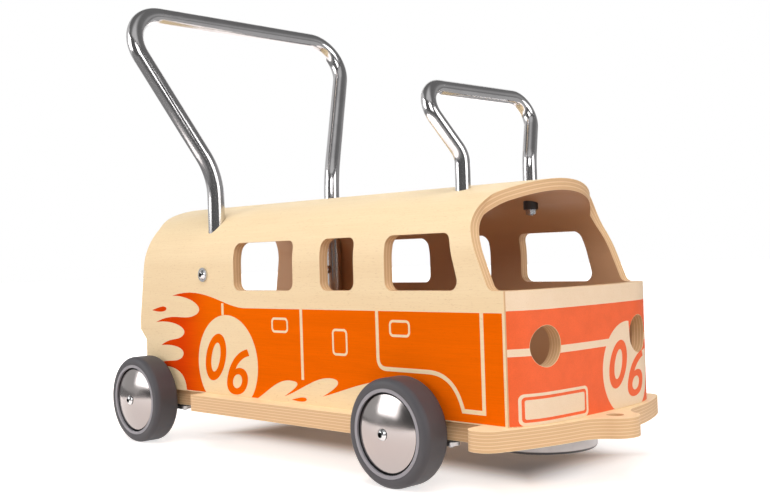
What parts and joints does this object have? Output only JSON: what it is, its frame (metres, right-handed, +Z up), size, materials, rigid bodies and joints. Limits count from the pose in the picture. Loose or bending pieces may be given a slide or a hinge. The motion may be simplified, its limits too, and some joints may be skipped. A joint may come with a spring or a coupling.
{
  "type": "baby push walker",
  "caption": "Wooden camper-van push walker on rolling wheels, with a bent-tube push handle at the back, a grab handle on the roof and an open cabin for toys.",
  "frame": {"origin": "on the floor, under the middle of the overall length and width", "axes": "+X the way the van faces, +Y its left side, +Z up"},
  "size_m": [0.6369, 0.3344, 0.5087],
  "materials": {
    "beech_ply": "clear-lacquered beech plywood, printed in orange",
    "steel_tube": "bright-plated steel tube",
    "zinc_steel": "zinc-plated",
    "black_plastic": "matt",
    "tyre_rubber": "grey rubber",
    "grey_plastic": "satin",
    "chrome_cap": "polished"
  },
  "bodies": {
    "root": {"body_shell": "beech_ply", "front_panel": "beech_ply", "rear_panel": "beech_ply", "base_board": "beech_ply", "push_handle": "steel_tube", "push_handle_plugs": "black_plastic", "push_handle_screws": "zinc_steel", "push_handle_washers": "zinc_steel", "push_handle_nuts": "zinc_steel", "grab_handle": "steel_tube", "grab_handle_studs": "zinc_steel", "grab_handle_washers": "black_plastic", "grab_handle_nuts": "zinc_steel", "front_axle": "zinc_steel", "rear_axle": "zinc_steel", "axle_pads": "black_plastic", "axle_saddles": "zinc_steel", "saddle_screws": "zinc_steel", "axle_spacers": "black_plastic", "wheel_screws": "zinc_steel", "wheel_washers": "zinc_steel", "base_screws": "zinc_steel", "ballast_disc": "zinc_steel", "ballast_bolt": "zinc_steel", "ballast_nut": "zinc_steel"},
    "wheel_fl": {"tyre_fl": "tyre_rubber", "ring_fl": "grey_plastic", "hub_fl": "black_plastic", "bush_fl": "grey_plastic", "hubcap_fl": "chrome_cap"},
    "wheel_fr": {"tyre_fr": "tyre_rubber", "ring_fr": "grey_plastic", "hub_fr": "black_plastic", "bush_fr": "grey_plastic", "hubcap_fr": "chrome_cap"},
    "wheel_rl": {"tyre_rl": "tyre_rubber", "ring_rl": "grey_plastic", "hub_rl": "black_plastic", "bush_rl": "grey_plastic", "hubcap_rl": "chrome_cap"},
    "wheel_rr": {"tyre_rr": "tyre_rubber", "ring_rr": "grey_plastic", "hub_rr": "black_plastic", "bush_rr": "grey_plastic", "hubcap_rr": "chrome_cap"}
  },
  "joints": [
    {"name": "front_left_wheel_spin", "type": "hinge", "parent": "root", "child": "wheel_fl", "pos_m": [0.1495, 0.1292, 0.05], "axis": [0, 1, 0], "continuous": true},
    {"name": "front_right_wheel_spin", "type": "hinge", "parent": "root", "child": "wheel_fr", "pos_m": [0.1495, -0.1292, 0.05], "axis": [0, 1, 0], "continuous": true},
    {"name": "rear_left_wheel_spin", "type": "hinge", "parent": "root", "child": "wheel_rl", "pos_m": [-0.2685, 0.1292, 0.05], "axis": [0, 1, 0], "continuous": true},
    {"name": "rear_right_wheel_spin", "type": "hinge", "parent": "root", "child": "wheel_rr", "pos_m": [-0.2685, -0.1292, 0.05], "axis": [0, 1, 0], "continuous": true}
  ]
}
